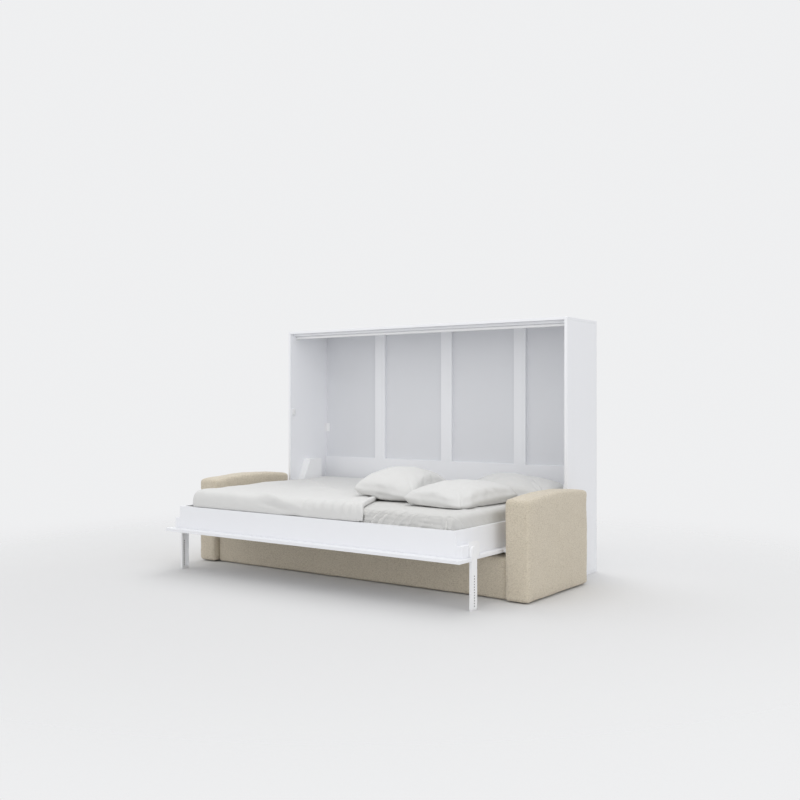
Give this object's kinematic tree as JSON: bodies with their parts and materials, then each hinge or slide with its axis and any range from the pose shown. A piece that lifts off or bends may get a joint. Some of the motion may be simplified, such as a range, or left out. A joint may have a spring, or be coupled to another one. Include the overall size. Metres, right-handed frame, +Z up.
{
  "type": "horizontal wall bed with sofa",
  "caption": "Bed folding down sideways out of a low white wall cabinet on coupled legs, with bedding, over an upholstered sofa without a back.",
  "frame": {"origin": "middle of the floor area that the open bed covers, on the floor", "axes": "+X along the cabinet, +Y to its back, +Z up"},
  "size_m": [2.4656, 1.561, 1.558],
  "materials": {
    "white_laminate": "satin white laminate on board",
    "grey_hardboard": "light grey coated hardboard",
    "white_steel": "white powder coat",
    "white_plastic": "moulded white plastic",
    "bright_steel": "zinc plated steel",
    "black_plastic": "black",
    "birch": "clear birch",
    "mattress_cover": "off-white fitted sheet over foam",
    "bed_linen": "washed off-white linen",
    "boucle": "beige looped pile"
  },
  "bodies": {
    "cabinet": {"back_batten_left": "white_laminate", "back_batten_middle": "white_laminate", "back_batten_right": "white_laminate", "back_panel": "grey_hardboard", "bottom_board": "white_laminate", "corner_bracket_left": "white_steel", "corner_bracket_right": "white_steel", "latch_left": "white_plastic", "latch_right": "white_plastic", "lower_back_rail": "white_laminate", "mechanism_cover_left": "white_steel", "mechanism_cover_right": "white_steel", "mechanism_plate_left": "bright_steel", "mechanism_plate_right": "bright_steel", "pivot_bush_left": "black_plastic", "pivot_bush_right": "black_plastic", "plinth_panel": "white_laminate", "side_left": "white_laminate", "side_right": "white_laminate", "sofa_arm_left": "boucle", "sofa_arm_right": "boucle", "sofa_seat": "boucle", "stiffener_cap_left": "white_plastic", "stiffener_cap_right": "white_plastic", "top_board": "white_laminate", "top_front_strip": "white_laminate", "top_stiffener": "white_steel"},
    "bed": {"catch_plate_left": "bright_steel", "catch_plate_right": "bright_steel", "duvet": "bed_linen", "frame_back_rail": "white_laminate", "frame_end_left": "white_laminate", "frame_end_right": "white_laminate", "frame_front_rail": "white_laminate", "front_panel": "white_laminate", "leg_block_left": "white_laminate", "leg_block_right": "white_laminate", "leg_plate_left": "white_steel", "leg_plate_right": "white_steel", "mattress": "mattress_cover", "pillow_corner": "bed_linen", "pillow_front": "bed_linen", "pillow_loose": "bed_linen", "pillow_rear": "bed_linen", "pivot_shaft_left": "bright_steel", "pivot_shaft_right": "bright_steel", "slat_bearer_back": "birch", "slat_bearer_front": "birch", "slatted_base": "birch"},
    "left_leg": {"leg_left": "white_steel", "leg_foot_left": "white_plastic"},
    "right_leg": {"leg_right": "white_steel", "leg_foot_right": "white_plastic"},
    "left_spring_cylinder": {"spring_cylinder_left": "black_plastic"},
    "right_spring_cylinder": {"spring_cylinder_right": "black_plastic"},
    "left_spring_rod": {"spring_rod_left": "bright_steel"},
    "right_spring_rod": {"spring_rod_right": "bright_steel"}
  },
  "joints": [
    {"name": "bed_tilt", "type": "hinge", "parent": "cabinet", "child": "bed", "pos_m": [0, 0.4385, 0.32], "axis": [-1, 0, 0], "range_deg": [0, 90]},
    {"name": "leg_fold_left", "type": "hinge", "parent": "bed", "child": "left_leg", "pos_m": [-1.0765, -0.633, 0.302], "axis": [1, 0, 0], "range_deg": [0, 90.5]},
    {"name": "spring_cylinder_swing_left", "type": "hinge", "parent": "cabinet", "child": "left_spring_cylinder", "pos_m": [-1.0585, 0.5455, 0.585], "axis": [-1, 0, 0], "range_deg": [0, 2.5]},
    {"name": "spring_rod_swing_left", "type": "hinge", "parent": "bed", "child": "left_spring_rod", "pos_m": [-1.0585, 0.46804, 0.32521], "axis": [1, 0, 0], "range_deg": [0, 87.6]},
    {"name": "leg_fold_right", "type": "hinge", "parent": "bed", "child": "right_leg", "pos_m": [1.0765, -0.633, 0.302], "axis": [1, 0, 0], "range_deg": [0, 90.5]},
    {"name": "spring_cylinder_swing_right", "type": "hinge", "parent": "cabinet", "child": "right_spring_cylinder", "pos_m": [1.0585, 0.5455, 0.585], "axis": [-1, 0, 0], "range_deg": [0, 2.5]},
    {"name": "spring_rod_swing_right", "type": "hinge", "parent": "bed", "child": "right_spring_rod", "pos_m": [1.0585, 0.46804, 0.32521], "axis": [1, 0, 0], "range_deg": [0, 87.6]}
  ],
  "couplings": [
    {"joint": "leg_fold_left", "follows": "bed_tilt", "ratio": 1},
    {"joint": "spring_cylinder_swing_left", "follows": "bed_tilt", "ratio": 0.027363},
    {"joint": "spring_rod_swing_left", "follows": "bed_tilt", "ratio": 0.97264},
    {"joint": "leg_fold_right", "follows": "bed_tilt", "ratio": 1},
    {"joint": "spring_cylinder_swing_right", "follows": "bed_tilt", "ratio": 0.027363},
    {"joint": "spring_rod_swing_right", "follows": "bed_tilt", "ratio": 0.97264}
  ]
}
